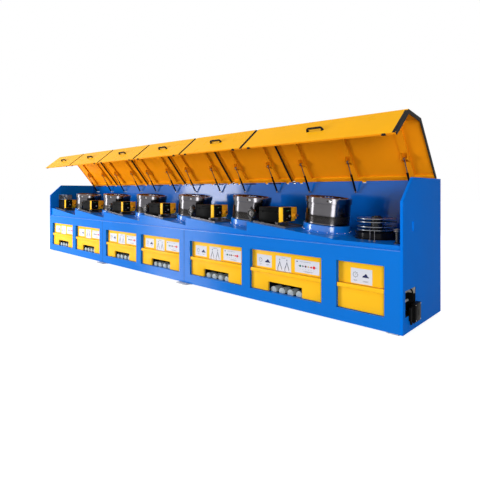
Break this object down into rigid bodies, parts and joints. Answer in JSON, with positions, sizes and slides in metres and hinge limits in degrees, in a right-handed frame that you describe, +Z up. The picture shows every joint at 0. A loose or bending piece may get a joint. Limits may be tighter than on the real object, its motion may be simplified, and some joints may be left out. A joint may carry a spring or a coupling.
{
  "type": "wire drawing machine",
  "caption": "Straight-line wire drawing machine: tilted capstan drums and die boxes on a stepped bed, closed base, back wall and hinged hoods on gas struts.",
  "frame": {"origin": "on the floor, under the middle of the whole machine with its hoods open", "axes": "+X along the machine from the wire inlet to the take-off, +Y from the open front to the back wall, +Z up"},
  "size_m": [9.352, 1.356, 2.4686],
  "materials": {
    "blue_paint": "gloss",
    "yellow_paint": "satin",
    "black_paint": "satin",
    "grey_paint": "satin",
    "light_grey_paint": "satin",
    "orange_paint": "satin",
    "drum_steel": "polished",
    "bright_steel": "polished",
    "dark_steel": "oily",
    "nozzle_bronze": "dull",
    "black_rubber": "matt"
  },
  "bodies": {
    "frame": {"base_module_1": "blue_paint", "base_module_2": "blue_paint", "base_module_3": "blue_paint", "levelling_feet": "light_grey_paint", "front_ledge": "blue_paint", "front_panels_upper": "yellow_paint", "front_panels_lower": "yellow_paint", "window_pipes": "grey_paint", "back_wall": "blue_paint", "end_plate_inlet": "blue_paint", "end_plate_outlet": "blue_paint", "outlet_cable_box": "black_paint", "service_fittings": "grey_paint", "drum_collars": "blue_paint", "drip_trays": "dark_steel", "die_box_covers": "black_paint", "die_box_blocks": "yellow_paint", "die_lubricators": "black_paint", "die_holders": "orange_paint", "die_nozzles": "nozzle_bronze", "inlet_guide": "light_grey_paint", "wire_guides": "dark_steel", "guide_rollers": "bright_steel", "takeoff_pedestal": "black_paint", "strut_brackets": "bright_steel"},
    "drum_1": {"drum_1": "drum_steel"},
    "drum_2": {"drum_2": "drum_steel"},
    "drum_3": {"drum_3": "drum_steel"},
    "drum_4": {"drum_4": "drum_steel"},
    "drum_5": {"drum_5": "drum_steel"},
    "drum_6": {"drum_6": "drum_steel"},
    "takeoff": {"takeoff_hub": "bright_steel", "takeoff_sheaves": "bright_steel"},
    "hood_1": {"hood_1": "yellow_paint", "hood_fittings_1": "black_rubber"},
    "strut_tubes_1": {"strut_tubes_1": "black_paint"},
    "strut_rods_1": {"strut_rods_1": "bright_steel"},
    "hood_2": {"hood_2": "yellow_paint", "hood_fittings_2": "black_rubber"},
    "strut_tubes_2": {"strut_tubes_2": "black_paint"},
    "strut_rods_2": {"strut_rods_2": "bright_steel"},
    "hood_3": {"hood_3": "yellow_paint", "hood_fittings_3": "black_rubber"},
    "strut_tubes_3": {"strut_tubes_3": "black_paint"},
    "strut_rods_3": {"strut_rods_3": "bright_steel"},
    "hood_4": {"hood_4": "yellow_paint", "hood_fittings_4": "black_rubber"},
    "strut_tubes_4": {"strut_tubes_4": "black_paint"},
    "strut_rods_4": {"strut_rods_4": "bright_steel"},
    "hood_5": {"hood_5": "yellow_paint", "hood_fittings_5": "black_rubber"},
    "strut_tubes_5": {"strut_tubes_5": "black_paint"},
    "strut_rods_5": {"strut_rods_5": "bright_steel"},
    "hood_6": {"hood_6": "yellow_paint", "hood_fittings_6": "black_rubber"},
    "strut_tubes_6": {"strut_tubes_6": "black_paint"},
    "strut_rods_6": {"strut_rods_6": "bright_steel"}
  },
  "joints": [
    {"name": "drum_1_spin", "type": "hinge", "parent": "frame", "child": "drum_1", "pos_m": [-3.646, 0.00801, 1.01547], "axis": [0.0941, 0, 0.9956], "continuous": true},
    {"name": "drum_2_spin", "type": "hinge", "parent": "frame", "child": "drum_2", "pos_m": [-2.246, 0.00801, 1.01547], "axis": [0.0941, 0, 0.9956], "continuous": true},
    {"name": "drum_3_spin", "type": "hinge", "parent": "frame", "child": "drum_3", "pos_m": [-0.846, 0.00801, 1.01547], "axis": [0.0941, 0, 0.9956], "continuous": true},
    {"name": "drum_4_spin", "type": "hinge", "parent": "frame", "child": "drum_4", "pos_m": [0.554, 0.00801, 1.01547], "axis": [0.0941, 0, 0.9956], "continuous": true},
    {"name": "drum_5_spin", "type": "hinge", "parent": "frame", "child": "drum_5", "pos_m": [1.954, 0.00801, 1.01547], "axis": [0.0941, 0, 0.9956], "continuous": true},
    {"name": "drum_6_spin", "type": "hinge", "parent": "frame", "child": "drum_6", "pos_m": [3.354, 0.00801, 1.01547], "axis": [0.0941, 0, 0.9956], "continuous": true},
    {"name": "takeoff_spin", "type": "hinge", "parent": "frame", "child": "takeoff", "pos_m": [4.079, 0.00801, 1.08], "axis": [0, 0, 1], "continuous": true},
    {"name": "hood_1_hinge", "type": "hinge", "parent": "frame", "child": "hood_1", "pos_m": [-3.946, 0.64801, 1.694], "axis": [1, 0, 0], "range_deg": [0, 51]},
    {"name": "strut_1_tilt", "type": "hinge", "parent": "frame", "child": "strut_tubes_1", "pos_m": [-3.946, 0.59801, 1.54], "axis": [1, 0, 0], "range_deg": [0, 43.44]},
    {"name": "strut_1_slide", "type": "slide", "parent": "strut_tubes_1", "child": "strut_rods_1", "axis": [0, -0.4978, 0.8673], "range_m": [-0.12839, 0]},
    {"name": "hood_2_hinge", "type": "hinge", "parent": "frame", "child": "hood_2", "pos_m": [-2.546, 0.64801, 1.694], "axis": [1, 0, 0], "range_deg": [0, 51]},
    {"name": "strut_2_tilt", "type": "hinge", "parent": "frame", "child": "strut_tubes_2", "pos_m": [-2.546, 0.59801, 1.54], "axis": [1, 0, 0], "range_deg": [0, 43.44]},
    {"name": "strut_2_slide", "type": "slide", "parent": "strut_tubes_2", "child": "strut_rods_2", "axis": [0, -0.4978, 0.8673], "range_m": [-0.12839, 0]},
    {"name": "hood_3_hinge", "type": "hinge", "parent": "frame", "child": "hood_3", "pos_m": [-1.146, 0.64801, 1.694], "axis": [1, 0, 0], "range_deg": [0, 51]},
    {"name": "strut_3_tilt", "type": "hinge", "parent": "frame", "child": "strut_tubes_3", "pos_m": [-1.146, 0.59801, 1.54], "axis": [1, 0, 0], "range_deg": [0, 43.44]},
    {"name": "strut_3_slide", "type": "slide", "parent": "strut_tubes_3", "child": "strut_rods_3", "axis": [0, -0.4978, 0.8673], "range_m": [-0.12839, 0]},
    {"name": "hood_4_hinge", "type": "hinge", "parent": "frame", "child": "hood_4", "pos_m": [0.254, 0.64801, 1.694], "axis": [1, 0, 0], "range_deg": [0, 51]},
    {"name": "strut_4_tilt", "type": "hinge", "parent": "frame", "child": "strut_tubes_4", "pos_m": [0.254, 0.59801, 1.54], "axis": [1, 0, 0], "range_deg": [0, 43.44]},
    {"name": "strut_4_slide", "type": "slide", "parent": "strut_tubes_4", "child": "strut_rods_4", "axis": [0, -0.4978, 0.8673], "range_m": [-0.12839, 0]},
    {"name": "hood_5_hinge", "type": "hinge", "parent": "frame", "child": "hood_5", "pos_m": [1.654, 0.64801, 1.694], "axis": [1, 0, 0], "range_deg": [0, 51]},
    {"name": "strut_5_tilt", "type": "hinge", "parent": "frame", "child": "strut_tubes_5", "pos_m": [1.654, 0.59801, 1.54], "axis": [1, 0, 0], "range_deg": [0, 43.44]},
    {"name": "strut_5_slide", "type": "slide", "parent": "strut_tubes_5", "child": "strut_rods_5", "axis": [0, -0.4978, 0.8673], "range_m": [-0.12839, 0]},
    {"name": "hood_6_hinge", "type": "hinge", "parent": "frame", "child": "hood_6", "pos_m": [3.474, 0.64801, 1.694], "axis": [1, 0, 0], "range_deg": [0, 51]},
    {"name": "strut_6_tilt", "type": "hinge", "parent": "frame", "child": "strut_tubes_6", "pos_m": [3.474, 0.59801, 1.54], "axis": [1, 0, 0], "range_deg": [0, 43.44]},
    {"name": "strut_6_slide", "type": "slide", "parent": "strut_tubes_6", "child": "strut_rods_6", "axis": [0, -0.4978, 0.8673], "range_m": [-0.12839, 0]}
  ],
  "couplings": [
    {"joint": "strut_1_tilt", "follows": "hood_1_hinge", "ratio": 0.85154},
    {"joint": "strut_1_slide", "follows": "hood_1_hinge", "m_per_rad": -0.14413},
    {"joint": "strut_2_tilt", "follows": "hood_2_hinge", "ratio": 0.85154},
    {"joint": "strut_2_slide", "follows": "hood_2_hinge", "m_per_rad": -0.14413},
    {"joint": "strut_3_tilt", "follows": "hood_3_hinge", "ratio": 0.85154},
    {"joint": "strut_3_slide", "follows": "hood_3_hinge", "m_per_rad": -0.14413},
    {"joint": "strut_4_tilt", "follows": "hood_4_hinge", "ratio": 0.85154},
    {"joint": "strut_4_slide", "follows": "hood_4_hinge", "m_per_rad": -0.14413},
    {"joint": "strut_5_tilt", "follows": "hood_5_hinge", "ratio": 0.85154},
    {"joint": "strut_5_slide", "follows": "hood_5_hinge", "m_per_rad": -0.14413},
    {"joint": "strut_6_tilt", "follows": "hood_6_hinge", "ratio": 0.85154},
    {"joint": "strut_6_slide", "follows": "hood_6_hinge", "m_per_rad": -0.14413}
  ]
}
